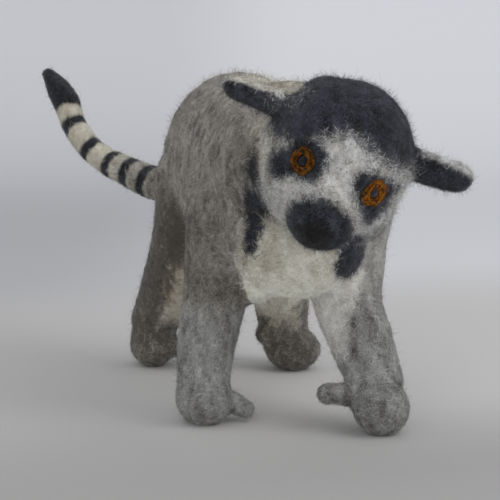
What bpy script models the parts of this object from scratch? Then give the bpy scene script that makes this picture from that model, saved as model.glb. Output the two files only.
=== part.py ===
"""A small needle-felted wool figure of a ring-tailed lemur, walking on all fours.

The figure faces -Y, its own right side is towards -X and it stands on z = 0. Its forms are tapered
tubes and ellipsoids of firm wool, felted into one body with soft joins. Thin cuts then part that body
into head, muzzle, ears, neck, trunk, legs, paws, thumbs and lengths of tail, and the felted eyes and
the nose pad are pieces of their own, set into sockets. All sizes here are in millimetres, and the
finished pieces are scaled to metres, with the origin under the middle of the whole figure.
"""

import math

import bmesh
import bpy
from mathutils import Matrix, Vector

MM = 0.001  # metres in a millimetre

# Felting
VOXEL = 1.15  # how finely the forms are joined
SOFTENING_STEPS = 9
BODY_TRIANGLES = 3750
GAP = 0.32  # between two pieces that meet

# Trunk: places along the middle of the body, with the half height there, front to back
SPINE = (
    (2, -4, 78, 22), (2, 10, 76, 32), (1, 36, 75, 34), (0, 66, 78.5, 33.5), (0, 90, 75, 32.5), (0, 106, 74, 22),
)
TRUNK_WIDTH = 0.72  # share of its height
TRUNK_MASSES = {  # centre and half sizes
    "rump": ((0, 92, 74), (22, 22, 34)),
    "chest": ((3, -2, 66), (25, 16, 26)),
    "withers": ((4.5, 14, 77.8), (28.5, 30, 31.5)),
    "armpit": ((-9, 7, 50.5), (9, 12, 13)),
}
NECK = ((0.5, -33, 85, 18.5), (0.5, -16, 84, 21.8), (1, 2, 80.5, 25.5))

# Head: its middle, and how it is turned in degrees
HEAD_CENTRE = Vector((3.3, -43.4, 87.4))
HEAD_YAW = -18.5  # towards the figure's right
HEAD_NOD = 14.0  # nose down
HEAD_ROLL = 25.4  # its left side down
HEAD_MASSES = {  # side, front and up from the middle of the head, and half sizes
    "skull": ((0.1, 0, -0.2), (20.7, 21.5, 23.5)),
    "crown": ((-7, -1, 12.5), (12, 13, 8.8)),
    "brow": ((0, 10, 6), (15.5, 10.5, 9)),
    "face": ((0, 7, -6), (19.5, 12.5, 14.5)),
    "cheek_right": ((-10.3, 1, -8.5), (8.2, 11, 12.5)),
    "cheek_left": ((13, 1, -9), (8.5, 11, 12.5)),
    "muzzle_root": ((-0.4, 17, -8.5), (11, 10, 9.2)),
    "bridge": ((0, 19, -3.5), (5.5, 9, 5)),
    "snout": ((-0.2, 24, -10.5), (10.6, 11, 8.2)),
    "snout_tip": ((-0.5, 29.6, -12.2), (6.8, 6, 5.8)),
}

# Eyes and nose
EYE_SPREAD = 10.9  # from the middle of the face
EYE_HEIGHT = 0.4
EYE_DEPTH = 0.5  # the middle of an eye under the surface of the face
IRIS_RADIUS = 3.7
IRIS_THICKNESS = 0.95  # half the thickness of its felted ring
PUPIL_RADIUS = 1.45
SOCKET_DEPTH = 1.6
NOSE_SIDE = -0.5
NOSE_UP = -11.2
NOSE_PAD = (3.7, 1.7, 3.1)
NOSE_DEPTH = 0.7

# Ears
EAR_ROOT = 19.0  # from the middle of the head
EAR_BACK = 3.0
EAR_ROOT_SIZE = (5.0, 3.2, 6.4)
EAR_TIP_SIZE = (4.6, 2.5, 6.1)
EARS = {  # length, height of the root, rise, lean of its face, and backward sweep in degrees
    "right": (20.8, 6.6, -6.5, 58.0, 6.0),
    "left": (20.0, 6.6, 6.5, 24.0, 4.0),
}

# Limbs: places down each leg with the radius there. The left feet have stepped forward.
FORELEGS = {
    "right": (
        (-15, 14, 66, 15), (-18.5, 16, 48, 12), (-20.8, 15, 36, 10.8), (-24, 12.5, 22, 9.8), (-25, 11, 12, 8.9),
    ),
    "left": (
        (20.5, 6, 66, 16), (21.3, 6, 50, 13), (20.4, 1, 38, 11.6), (23.4, -5, 26, 10.7), (26, -10.5, 15, 9.4),
    ),
}
HIND_LEGS = {
    "right": ((-8, 86, 70, 19), (-15, 84, 50, 13.8), (-19.6, 95, 31, 11.4), (-23.2, 107, 17, 9.6)),
    "left": ((11, 80, 70, 19), (17, 76, 49, 13.6), (20.6, 84, 31, 11.6), (24, 93, 17, 10)),
}
PAWS = {  # centre and half sizes, the lowest millimetre of which the floor takes off
    "forepaw_right": ((-25.4, 8.5, 7.2), (9.4, 11.5, 8.2)),
    "forepaw_left": ((25.2, -19, 8.0), (9.3, 10.5, 9.0)),
    "hindpaw_right": ((-24.5, 105, 8.0), (9.0, 13.0, 8.9)),
    "hindpaw_left": ((25.6, 85, 7.6), (11, 12.5, 8.5)),
}
THUMBS = {
    "forethumb_right": ((-19, 9, 8, 3.7), (-14, 7, 5, 3.2), (-11.8, 6, 4, 3.2)),
    "forethumb_left": ((21, -14, 11.3, 3.7), (14, -14, 12, 3.4), (9.3, -13, 12, 3.6)),
    "big_toe_right": ((-19, 103, 9, 3.9), (-13.5, 98, 6, 3.7)),
    "big_toe_left": ((20, 87, 13, 4.6), (14.6, 83, 14, 4.4)),
}

# Tail: places along it with the radius there, from the rump to the tip
TAIL = (
    (1, 100, 77, 11), (-7, 113, 69, 8.8), (-18, 127, 67.5, 7), (-28, 140, 72, 6.2), (-34, 148, 75, 5.8),
    (-40, 155, 80, 5.4), (-45.5, 163, 88.5, 5.3), (-47.2, 167.5, 95.5, 5.5), (-48.5, 170, 99.5, 5.9),
    (-51.2, 174, 105, 5), (-54.6, 178.5, 110.3, 3.1),
)

# Where the felted body is parted
MUZZLE_CUT = ((0, 29, -12), (14, 12.5, 10.5))  # in the head's frame, as HEAD_MASSES
HEAD_CUT = ((0, 4, -1), (27.5, 28.5, 30.5))
NECK_CUT = ((1, -28, 86), (34, 31, 31))
EAR_CUT = 22.2  # from the middle of the head
EAR_REACH = ((-8, -3), (11, 17))  # back and up there, low and high
EAR_SPAN = 24.0  # how far out from the cut
THUMB_CUTS = {"forethumb_right": -15.4, "forethumb_left": 15.0, "big_toe_right": -14.2, "big_toe_left": 15.6}
THUMB_REACH = 1.55  # of its radius
PAW_TOPS = {"forepaw": 16.0, "hindpaw": 15.5}
PAW_REACH = (16, 24)
LEG_ROOTS = {  # how far outside the leg's first place, and half sizes
    "foreleg": (6, (13, 17, 20)),
    "hind_leg": (9, (14.5, 22, 26)),
}
LEG_ROOT_DROP = 4.0
LEG_CLEARANCE = 1.5  # how much further outside it a leg's cut runs at each place down the leg
TAIL_CUTS = {"tail_tip": 0.8, "tail_upper": 0.6, "tail_middle": 0.4, "tail_base": 0.2}  # shares along the tail
TAIL_CLEARANCE = 3.5
BELOW = 50.0  # safely past the figure on the way down
BEYOND = 300.0

WOOLS = {
    "grey_wool": (0.42, 0.41, 0.39),
    "pale_wool": (0.50, 0.51, 0.52),
    "cream_wool": (0.74, 0.71, 0.64),
    "slate_wool": (0.075, 0.08, 0.10),
    "black_wool": (0.02, 0.02, 0.024),
    "amber_wool": (0.62, 0.22, 0.02),
}
WOOL_ROUGHNESS = 0.95
SHARP_EDGE = math.radians(50)
OUTWARDS = {"right": -1, "left": 1}

HEAD_TURN = (
    Matrix.Rotation(math.radians(HEAD_YAW), 3, "Z")
    @ Matrix.Rotation(math.radians(HEAD_NOD), 3, "X")
    @ Matrix.Rotation(math.radians(HEAD_ROLL), 3, "Y")
)


def in_head(side, front, up):
    """A place on the head: to its own left, towards its nose, and up, from the middle of the head."""
    return HEAD_CENTRE + HEAD_TURN @ Vector((side, -front, up))


# Scene and materials


def new_collection(name):
    made = bpy.data.collections.new(name)
    bpy.context.scene.collection.children.link(made)
    return made


def wool(name):
    """The matt material of one colour of wool."""
    if name in bpy.data.materials:
        return bpy.data.materials[name]
    material = bpy.data.materials.new(name)
    material.use_nodes = True
    shader = material.node_tree.nodes["Principled BSDF"]
    shader.inputs["Base Color"].default_value = (*WOOLS[name], 1.0)
    shader.inputs["Roughness"].default_value = WOOL_ROUGHNESS
    shader.inputs["Metallic"].default_value = 0.0
    return material


def place(data, name, collection):
    made = bpy.data.objects.new(name, data)
    collection.objects.link(made)
    return made


# Shapes


def from_bmesh(bm, name):
    mesh = bpy.data.meshes.new(name)
    bm.to_mesh(mesh)
    bm.free()
    return mesh


def ellipsoid(centre, radii, turn=None, grow=0.0, segments=28, rings=18):
    """A closed ellipsoid mesh."""
    turn = turn.to_4x4() if turn is not None else Matrix.Identity(4)
    stretch = Matrix.Diagonal((*(r + grow for r in radii), 1.0))
    bm = bmesh.new()
    bmesh.ops.create_uvsphere(
        bm, u_segments=segments, v_segments=rings, radius=1.0,
        matrix=Matrix.Translation(centre) @ turn @ stretch,
    )
    return from_bmesh(bm, "ellipsoid")


def hull(*meshes):
    """The smallest convex solid round these meshes."""
    bm = bmesh.new()
    for mesh in meshes:
        for vertex in mesh.vertices:
            bm.verts.new(vertex.co)
    made = bmesh.ops.convex_hull(bm, input=bm.verts)
    inside = [item for item in made["geom_interior"] if isinstance(item, bmesh.types.BMVert)]
    bmesh.ops.delete(bm, geom=inside, context="VERTS")
    return from_bmesh(bm, "hull")


def box(low, high, turn=None, origin=(0, 0, 0), grow=0.0):
    """A box between two corners, given in a turned frame where turn is given."""
    low, high = Vector(low), Vector(high)
    frame = Matrix.Translation(origin) @ (turn.to_4x4() if turn is not None else Matrix.Identity(4))
    size = high - low + Vector((grow, grow, grow)) * 2
    bm = bmesh.new()
    bmesh.ops.create_cube(
        bm, size=1.0, matrix=frame @ Matrix.Translation((low + high) / 2) @ Matrix.Diagonal((*size, 1.0))
    )
    return from_bmesh(bm, "box")


def smooth_path(points, steps=6):
    """Places and radii along a smooth curve through (x, y, z, radius) rows."""
    rows = [Vector(row) for row in points]
    rows = [rows[0] * 2 - rows[1], *rows, rows[-1] * 2 - rows[-2]]
    path = []
    for before, here, after, beyond in zip(rows, rows[1:], rows[2:], rows[3:]):
        for step in range(steps):
            t = step / steps
            bend = 2 * before - 5 * here + 4 * after - beyond
            twist = 3 * here - before - 3 * after + beyond
            path.append(0.5 * (2 * here + (after - before) * t + bend * t**2 + twist * t**3))
    return [*path, rows[-2]]


def tube(points, widen=0.0, sides=4):
    """A closed tapered tube through (x, y, z, radius) rows, made from a bevelled curve."""
    curve = bpy.data.curves.new("tube", "CURVE")
    curve.dimensions = "3D"
    curve.bevel_depth = 1.0
    curve.bevel_resolution = sides
    curve.use_fill_caps = True
    spline = curve.splines.new("POLY")
    spline.points.add(len(points) - 1)
    for knot, row in zip(spline.points, points):
        knot.co = (*row[:3], 1.0)
        knot.radius = row[3] + widen
    holder = place(curve, "tube", bpy.context.scene.collection)
    graph = bpy.context.evaluated_depsgraph_get()
    bm = bmesh.new()
    bm.from_mesh(bpy.data.meshes.new_from_object(holder.evaluated_get(graph)))
    bpy.data.curves.remove(curve)
    bmesh.ops.remove_doubles(bm, verts=bm.verts, dist=MM)
    bmesh.ops.recalc_face_normals(bm, faces=bm.faces)
    return from_bmesh(bm, "tube")


def limb(points):
    """A smooth tapered tube with a ball at each end, so that it ends round."""
    ends = [ellipsoid(row[:3], (row[3],) * 3) for row in (points[0], points[-1])]
    return [tube(smooth_path(points)), *ends]


# The forms that are felted together


def trunk_forms():
    spine = tube(smooth_path(SPINE), sides=8)
    spine.transform(Matrix.Diagonal((TRUNK_WIDTH, 1.0, 1.0, 1.0)))
    return [spine, *(ellipsoid(*mass) for mass in TRUNK_MASSES.values()), *limb(NECK)]


def head_forms():
    return [ellipsoid(in_head(*centre), sizes, HEAD_TURN) for centre, sizes in HEAD_MASSES.values()]


def ear_form(side):
    """A blunt leaf that stands straight out from the head, with its hollow face turned down and forward."""
    length, height, rise, lean, sweep = EARS[side]
    outwards = OUTWARDS[side]
    turn = (
        HEAD_TURN
        @ Matrix.Rotation(math.radians(-outwards * rise), 3, "Y")
        @ Matrix.Rotation(math.radians(outwards * sweep), 3, "Z")
        @ Matrix.Rotation(math.radians(lean), 3, "X")
    )
    root = in_head(outwards * EAR_ROOT, -EAR_BACK, height)
    tip = root + turn @ Vector((outwards * (length - EAR_TIP_SIZE[0]), 0, 0))
    return hull(ellipsoid(root, EAR_ROOT_SIZE, turn), ellipsoid(tip, EAR_TIP_SIZE, turn))


def limb_forms():
    forms = [ellipsoid(*paw) for paw in PAWS.values()]
    for points in (*FORELEGS.values(), *HIND_LEGS.values(), *THUMBS.values(), TAIL):
        forms += limb(points)
    return forms


def felted_body(collection):
    """Joins the forms into one closed body with softened joins, few triangles and flat soles."""
    bm = bmesh.new()
    for form in [*trunk_forms(), *head_forms(), ear_form("right"), ear_form("left"), *limb_forms()]:
        bm.from_mesh(form)
        bpy.data.meshes.remove(form)
    body = place(from_bmesh(bm, "body"), "body", collection)
    join = body.modifiers.new("join", "REMESH")
    join.mode = "VOXEL"
    join.voxel_size = VOXEL
    soften = body.modifiers.new("soften", "SMOOTH")
    soften.factor = 0.5
    soften.iterations = SOFTENING_STEPS
    settle(body)
    body.data.calc_loop_triangles()
    thin = body.modifiers.new("thin", "DECIMATE")
    thin.ratio = BODY_TRIANGLES / len(body.data.loop_triangles)
    settle(body)
    cut(body, "DIFFERENCE", box((-BEYOND, -BEYOND, -BELOW), (BEYOND, BEYOND, 0)))
    return body


# Cutting


def settle(target):
    """Replaces an object's mesh by what its modifiers make of it."""
    graph = bpy.context.evaluated_depsgraph_get()
    made = bpy.data.meshes.new_from_object(target.evaluated_get(graph))
    target.modifiers.clear()
    target.data = made


def cut(target, operation, mesh):
    """Applies a Boolean with a solid that is then thrown away."""
    cutter = place(mesh, "cutter", bpy.context.scene.collection)
    boolean = target.modifiers.new("cut", "BOOLEAN")
    boolean.operation = operation
    boolean.object = cutter
    settle(target)
    bpy.data.meshes.remove(mesh)


def finish_piece(piece, wool_name):
    piece.data.materials.clear()
    piece.data.materials.append(wool(wool_name))
    piece.data.shade_smooth()
    piece.data.set_sharp_from_angle(angle=SHARP_EDGE)


def part_off(body, name, wool_name, region):
    """Takes what lies inside a region off the body as a piece of its own, with a thin gap left round it.

    region is a function that makes the solid, grown outwards by the millimetres that it is given.
    """
    piece = place(body.data.copy(), name, body.users_collection[0])
    cut(piece, "INTERSECT", region(0.0))
    cut(body, "DIFFERENCE", region(GAP))
    finish_piece(piece, wool_name)


# Eyes and nose


def on_face(body, side, up):
    """Where a line along the head's own front meets the face, and which way the surface faces there."""
    start = in_head(side, BEYOND, up)
    _, where, normal, _ = body.ray_cast(start, HEAD_TURN @ Vector((0, 1, 0)))
    return where, normal


def facing(normal):
    """A rotation whose -Y looks along normal, upright in the head's frame."""
    back = -normal.normalized()
    right = back.cross(HEAD_TURN @ Vector((0, 0, 1))).normalized()
    return Matrix((right, back, right.cross(back))).transposed()


def make_eye(body, side, collection):
    """A felted ring with a round pupil in it, in a socket in the face."""
    where, normal = on_face(body, OUTWARDS[side] * EYE_SPREAD, EYE_HEIGHT)
    turn = facing(normal)
    middle = where - normal * EYE_DEPTH
    socket_sizes = (IRIS_RADIUS, SOCKET_DEPTH, IRIS_RADIUS)
    cut(body, "DIFFERENCE", ellipsoid(middle, socket_sizes, turn, GAP, segments=16, rings=8))
    bpy.ops.mesh.primitive_torus_add(
        major_segments=18, minor_segments=6,
        major_radius=IRIS_RADIUS - IRIS_THICKNESS, minor_radius=IRIS_THICKNESS,
    )
    ring = bpy.context.object
    iris = place(ring.data, f"iris_{side}", collection)
    bpy.data.objects.remove(ring)
    upright = Matrix.Rotation(math.radians(90), 4, "X")
    iris.data.transform(Matrix.Translation(middle) @ turn.to_4x4() @ upright)
    finish_piece(iris, "amber_wool")
    pupil_sizes = (PUPIL_RADIUS, IRIS_THICKNESS, PUPIL_RADIUS)
    pupil = place(ellipsoid(middle, pupil_sizes, turn, segments=10, rings=6), f"pupil_{side}", collection)
    finish_piece(pupil, "black_wool")


def make_nose(body, collection):
    where, normal = on_face(body, NOSE_SIDE, NOSE_UP)
    turn = facing(normal)
    middle = where - normal * NOSE_DEPTH
    cut(body, "DIFFERENCE", ellipsoid(middle, NOSE_PAD, turn, GAP, segments=12, rings=8))
    pad = place(ellipsoid(middle, NOSE_PAD, turn, segments=12, rings=8), "nose", collection)
    finish_piece(pad, "black_wool")


# Parting the felted body


def round_cut(centre, sizes, turn=None):
    """A region for part_off: an ellipsoid, coarse so that the cut has few triangles."""
    return lambda grow: ellipsoid(centre, sizes, turn, grow, segments=14, rings=8)


def box_cut(low, high, turn=None, origin=(0, 0, 0)):
    """A region for part_off: a box."""
    return lambda grow: box(low, high, turn, origin, grow)


def part_head(body):
    muzzle_centre, muzzle_sizes = MUZZLE_CUT
    part_off(body, "muzzle", "slate_wool", round_cut(in_head(*muzzle_centre), muzzle_sizes, HEAD_TURN))
    (back, low), (front, high) = EAR_REACH
    for side, outwards in OUTWARDS.items():
        near, far = sorted((outwards * EAR_CUT, outwards * (EAR_CUT + EAR_SPAN)))
        region = box_cut((near, back, low), (far, front, high), HEAD_TURN, HEAD_CENTRE)
        part_off(body, f"ear_{side}", "slate_wool", region)
    head_centre, head_sizes = HEAD_CUT
    part_off(body, "head", "cream_wool", round_cut(in_head(*head_centre), head_sizes, HEAD_TURN))
    part_off(body, "neck", "grey_wool", round_cut(*NECK_CUT))


def part_paws(body):
    """Parts the thumbs on planes across their roots, and then the paws on level planes at the wrists."""
    for name, edge in THUMB_CUTS.items():
        _, y, z, radius = THUMBS[name][-1]
        reach = radius * THUMB_REACH
        near, far = sorted((edge, 0.0))
        region = box_cut((near, y - reach, z - reach), (far, y + reach, z + reach))
        part_off(body, name, "pale_wool", region)
    across, along = PAW_REACH
    for name, ((x, y, _), _) in PAWS.items():
        top = PAW_TOPS[name.split("_")[0]]
        region = box_cut((x - across, y - along, -BELOW), (x + across, y + along, top))
        part_off(body, name, "pale_wool", region)


def part_leg(body, kind, side, points):
    """Parts a leg with a convex solid that is rounded inside the trunk and clear of the leg further down."""
    offset, sizes = LEG_ROOTS[kind]
    x, y, z, _ = points[0]
    root = (x + OUTWARDS[side] * offset, y, z - LEG_ROOT_DROP)

    def region(grow):
        balls = [
            ellipsoid(row[:3], (row[3] + LEG_CLEARANCE * number,) * 3, None, grow, segments=12, rings=6)
            for number, row in enumerate(points[1:], start=1)
        ]
        return hull(ellipsoid(root, sizes, None, grow, segments=12, rings=8), *balls)

    part_off(body, f"{kind}_{side}", "grey_wool", region)


def part_tail(body):
    """Parts the tail into lengths, from its tip to its base."""
    path = smooth_path(TAIL)
    past_tip = path[-1] + (path[-1] - path[-2]) * 8
    for name, start in TAIL_CUTS.items():
        first, *rest = path[round(start * (len(path) - 1)):]
        along = (rest[0] - first).to_3d().normalized()

        def region(grow):
            start_row = Vector((*(first.to_3d() - along * grow), first[3]))
            return tube([start_row, *rest, past_tip], widen=TAIL_CLEARANCE)

        part_off(body, name, "black_wool" if name == "tail_tip" else "cream_wool", region)


def centre_pieces(pieces, frame):
    """Scales the pieces to metres and hangs them on frame, with the origin under the middle of the figure."""
    corners = [Vector(corner) for piece in pieces for corner in piece.bound_box]
    low = Vector([min(corner[axis] for corner in corners) for axis in range(3)])
    high = Vector([max(corner[axis] for corner in corners) for axis in range(3)])
    frame.location = Vector(((low.x + high.x) / 2, (low.y + high.y) / 2, low.z)) * -MM
    for piece in pieces:
        own_corners = [Vector(corner) for corner in piece.bound_box]
        middle = sum(own_corners, Vector()) / len(own_corners)
        piece.data.transform(Matrix.Scale(MM, 4) @ Matrix.Translation(-middle))
        piece.location = middle * MM
        piece.parent = frame


def main():
    for old in list(bpy.data.objects):
        bpy.data.objects.remove(old, do_unlink=True)
    figure = new_collection("felted_lemur")
    body = felted_body(figure)
    for side in OUTWARDS:
        make_eye(body, side, figure)
    make_nose(body, figure)
    part_head(body)
    part_paws(body)
    for kind, legs in (("foreleg", FORELEGS), ("hind_leg", HIND_LEGS)):
        for side, points in legs.items():
            part_leg(body, kind, side, points)
    part_tail(body)
    body.name = "trunk"
    finish_piece(body, "grey_wool")
    centre_pieces(list(figure.objects), place(None, "felted_lemur_frame", figure))


main()
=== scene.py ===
"""The looks of a small ring-tailed lemur of needle-felted wool, walking on all fours.

One felted skin stands for all the flesh of the frame, the nose with it. Wool lies matted over it and a
thinner fuzz stands off it, both as joined ribbons of mesh, and the eyes are felted pieces of their own.
Places on the figure are worked out in millimetres, and meshes are in metres.
"""

import math

import bpy
import numpy as np
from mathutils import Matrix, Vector
from mathutils.bvhtree import BVHTree


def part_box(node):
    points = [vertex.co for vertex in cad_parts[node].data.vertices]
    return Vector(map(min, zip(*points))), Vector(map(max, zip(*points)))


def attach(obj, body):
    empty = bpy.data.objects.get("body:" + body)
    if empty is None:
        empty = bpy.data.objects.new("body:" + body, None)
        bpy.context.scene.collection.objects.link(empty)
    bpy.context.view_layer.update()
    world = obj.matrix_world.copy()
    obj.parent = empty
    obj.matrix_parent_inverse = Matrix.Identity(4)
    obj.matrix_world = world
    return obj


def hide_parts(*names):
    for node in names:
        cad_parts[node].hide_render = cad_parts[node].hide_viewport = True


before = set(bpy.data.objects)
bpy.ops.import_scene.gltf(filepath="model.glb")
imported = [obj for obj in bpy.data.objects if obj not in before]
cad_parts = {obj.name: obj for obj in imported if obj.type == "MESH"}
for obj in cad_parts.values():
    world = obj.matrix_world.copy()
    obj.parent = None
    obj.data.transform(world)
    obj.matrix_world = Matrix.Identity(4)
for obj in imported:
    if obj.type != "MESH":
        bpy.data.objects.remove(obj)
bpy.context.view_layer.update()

bl_info = {
    "name": "Needle-felted lemur",
    "version": (1, 0, 0),
    "blender": (4, 5, 0),
    "location": "3D View > Sidebar > Felted lemur",
    "description": "Felts a ring-tailed lemur of wool over its packed frame",
    "category": "Add Mesh",
}

MM = 0.001
BODY = "root"

FLESH = tuple(sorted(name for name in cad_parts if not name.startswith(("iris_", "pupil_"))))
OUTWARDS = {"right": -1.0, "left": 1.0}


def both(*kinds):
    """The nodes of these kinds on both sides."""
    return tuple(f"{kind}_{side}" for kind in kinds for side in OUTWARDS)


HEAD_NODES = ("head", "muzzle", "nose", *both("ear"))
TAIL_NODES = ("tail_base", "tail_middle", "tail_upper", "tail_tip")
PAWS = both("forepaw", "forethumb")
FORE = (*both("foreleg"), *PAWS)
HIND = both("hind_leg", "hindpaw", "big_toe")
NOT_TAIL = tuple(name for name in FLESH if not name.startswith(("tail_", "ear_")))


# Places on the figure, in millimetres


def middle(node):
    """The middle of a node's box."""
    low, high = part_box(node)
    return np.array((low + high) / 2) / MM


def unit(vectors):
    lengths = np.linalg.norm(vectors, axis=-1, keepdims=True)
    return vectors / np.maximum(lengths, 1e-9)


def mesh_values(items, name, width=3, kind=float):
    """One value of each vertex, loop or triangle of a mesh, in rows."""
    values = np.zeros(len(items) * width, dtype=kind)
    items.foreach_get(name, values)
    return values.reshape(-1, width)


def node_points(node):
    return mesh_values(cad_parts[node].data.vertices, "co") / MM


# The face: from between the eyes, to the figure's left, straight ahead, and up
NOSE_DROP = math.radians(34.89)  # how far below straight ahead the nose is, seen from between the eyes
FACE_MIDDLE = (middle("pupil_right") + middle("pupil_left")) / 2
FACE_SIDE = unit(middle("pupil_left") - middle("pupil_right"))
TO_NOSE = middle("nose") - FACE_MIDDLE
TO_NOSE = unit(TO_NOSE - FACE_SIDE * (TO_NOSE @ FACE_SIDE))
NOSE_UPRIGHT = np.cross(TO_NOSE, FACE_SIDE)
FACE_FRONT = TO_NOSE * math.cos(NOSE_DROP) + NOSE_UPRIGHT * math.sin(NOSE_DROP)
FACE_UP = NOSE_UPRIGHT * math.cos(NOSE_DROP) - TO_NOSE * math.sin(NOSE_DROP)
FACE_AXES = np.array((FACE_SIDE, FACE_FRONT, FACE_UP))


def on_head(points):
    """Places in the face's own frame."""
    return (points - FACE_MIDDLE) @ FACE_AXES.T


JOINT_GAP = 1.0  # how near to each other the faces of a cut are
CUT_CLOSING = 0.3  # how far nodes first grow, so that they overlap where they were cut apart
COAT_DEPTHS = {  # shares of the coat's depth, below 0 where a thin part shrank as it was softened
    "ear_left": 0.2, "ear_right": -0.4, "forethumb_": -0.5, "big_toe_": 0.0, "tail_": 0.3,
    "head": 0.8, "muzzle": 0.7, "nose": 0.5,
}
SOLE_DROP = 0.9  # how far the soles come down to the floor
SOLE_BLEND = 1.8  # up to where the wool above them follows
LUMPS = (("lumps", 7.0, 0.6), ("dimples", 2.6, 0.55))  # how far apart they are, and their share of the height


def joint_between(node, other):
    """The middle of the cut between two nodes that meet."""
    points, others = node_points(node), node_points(other)
    gaps = np.sqrt(((points[:, None] - others[None]) ** 2).sum(-1)).min(1)
    return points[gaps < JOINT_GAP].mean(0)


def curve(knots, steps):
    """Points along a smooth line, from the second of its knots to the last but one."""
    knots = np.array(knots)
    line = []
    for before, here, after, beyond in zip(knots, knots[1:], knots[2:], knots[3:]):
        for t in np.linspace(0, 1, steps, endpoint=False):
            bend = 2 * before - 5 * here + 4 * after - beyond
            twist = 3 * here - before - 3 * after + beyond
            line.append(0.5 * (2 * here + (after - before) * t + bend * t**2 + twist * t**3))
    return np.array([*line, knots[-2]])


def tail_line():
    """Points along the middle of the tail, from its root to its tip."""
    joints = [joint_between(*pair) for pair in zip(("trunk", *TAIL_NODES), TAIL_NODES)]
    tip = node_points("tail_tip")
    end = tip[np.argmax(np.linalg.norm(tip - joints[-1], axis=1))]
    return curve([joints[0] * 2 - joints[1], *joints, end, end * 2 - joints[-1]], 12)


TAIL = tail_line()
TAIL_REACH = np.concatenate([[0.0], np.cumsum(np.linalg.norm(np.diff(TAIL, axis=0), axis=1))])
TIP_JOINT = joint_between("tail_upper", "tail_tip")
TIP_STARTS = TAIL_REACH[np.argmin(np.linalg.norm(TAIL - TIP_JOINT, axis=1))]


# Soft shapes, which the colours of the wool are laid in


def soft(distance, blur):
    """1 well inside a shape and 0 well outside it. distance is in millimetres, negative inside."""
    t = np.clip(0.5 - distance / (2 * blur), 0, 1)
    return t * t * (3 - 2 * t)


def from_ball(places, centre, radii):
    """About how far places lie outside an ellipsoid, or a cylinder where a radius is infinite."""
    reach = np.linalg.norm((places - np.array(centre)) / np.array(radii), axis=1)
    return (reach - 1) * min(radii)


def waves(points, length, seed):
    """A smooth random field from about -1 to 1, whose bumps are about this many millimetres apart."""
    rng = np.random.default_rng(seed)
    directions = unit(rng.normal(size=(9, 3))) * rng.uniform(0.7, 1.4, (9, 1)) * (math.tau / length)
    shifts = rng.uniform(0, math.tau, 9)
    return np.sin(points @ directions.T + shifts).sum(1) / 3.0


# The markings


KNOT_STEPS = 6  # points of an outline from one of its knots to the next
EYE_PATCHES = {  # knots of their outlines, outwards and up from between the eyes
    "right": (
        (13, 6), (9.5, 6.9), (5.5, 4.5), (4.6, 0.4), (5.6, -2.2), (8.5, -4.4), (12.5, -6.5),
        (15.2, -9.5), (17.3, -9), (18.7, -5.5), (18, -2.6), (16, -0.3), (15.3, 3.2),
    ),
    "left": (
        (3.9, 3), (6.5, 5.5), (12, 4.5), (17.9, 3), (16.4, 1.2), (16.4, -4.5), (15.2, -7.7),
        (13.1, -9.6), (11.1, -8.4), (9.4, -5.4), (4.9, -1.5),
    ),
}
EYE_PATCH_BACK = -14.0  # how far ahead of the eyes the patches start
MUZZLE_PATCH = ((0.0, 15.1, -11.0), (10.4, 14.0, 7.4))
NOSE_PATCH = ((-0.6, 17.0, -12.5), (4.8, 6.0, 4.1))
CAP_KNOTS = (  # of its edge, to the figure's left and up from between the eyes
    (-32, -10), (-26, -6), (-20, -2.5), (-17.6, 0.4), (-15, 1), (-12, 3.8), (-8, 8.2),
    (-1.5, 11.5), (6, 9.5), (16, 7.1), (21, 4.9), (26, -2), (30, -9),
)
CAP_EDGE = curve(CAP_KNOTS, KNOT_STEPS)
CAP_LEAN = 0.8  # how straight its edge stands to the skin there
CAP_BACK = -31.0
HEAD_WHITE = ((0.0, -13.9, -1.4), (27.5, 28.5, 30.5))
HEAD_WHITE_BACK = -28.0
CHEEK_ENDS = {"right": 17.9, "left": 17.2}  # how far out and down the white of each cheek goes
CHEEK_SLOPE = (0.851, 0.246, -0.463)
EAR_SLATE = {"right": (0.755, -0.658), "left": (0.7, -0.7)}  # which way its dark side faces: ahead, up
EAR_BAND = ((33, 37), (11, 10))  # foot of the pale rim: level, then falling towards the tip
EAR_BAND_ROOT = 20.0  # how far out the rim starts
EAR_CREAM = 0.7  # share of cream in the pale of the ears
CHEEK_STARTS = -17.0  # from where the right cheek is creamier than the rest of the face
CHEEK_CREAM = 0.8
HEAD_CREAM = 0.82  # share of the cream wool in the white of the head, which is heathered with pale grey
RINGS = (12.8, 26.6, 39.5, 49.8, 60.0, 70.0, 80.0)  # their middles, from the dark tip towards the root
RING_WIDTH = 4.7
TAIL_GREYS = 44.0  # from where the wool between the rings is greyer
TAIL_GREY = 0.72  # and how much
TIP_DARK = 4.6  # how far the dark tip goes past its joint
BIB = ((11.6, -64.3, 54.0), (21.0, 22.0, 25.0))
THROAT_STRIPES = (
    ((-9.6, -82.5, 82.0), (3.2, 4.8, 7.0)), ((-7.7, -76.5, 73.0), (3.6, 8.4, 6.5)),
    ((-6.6, -69.2, 66.5), (3.0, 4.5, 7.0)), ((-7.0, -66.0, 60.5), (2.4, 3.0, 6.0)),
    ((25.0, -65.0, 54.6), (6.3, 8.0, 7.9)), ((22.0, -72.0, 65.0), (4.6, 8.0, 7.6)),
    ((13.4, -101.0, 64.5), (4.0, 7.0, 3.3)),
)
NAPE = ((9.0, -36.0, 108.0), (13.0, 34.0, 9.0))
NAPE_CREAM = 0.72
CHEEK_TOP = ((-6.5, -78.5, 96.5), (4.5, 8.0, 5.0))  # where the white of the right cheek runs up the neck
CHEEK_TOP_CREAM = 0.65
BELLY_TOP = 54.0
PALE_TOPS = {"left": (46.0, 14.0), "right": (37.0, 5.0)}  # up to where each foreleg is pale, and its blur
SHOULDER_PALE = (20.0, -50.0)  # from here to the left and forwards the wool of the shoulders is paler
SHOULDER_SHARE = 0.5
INNER_TURN = 0.45  # how far inwards the skin of a leg has to face to be cream
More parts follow.
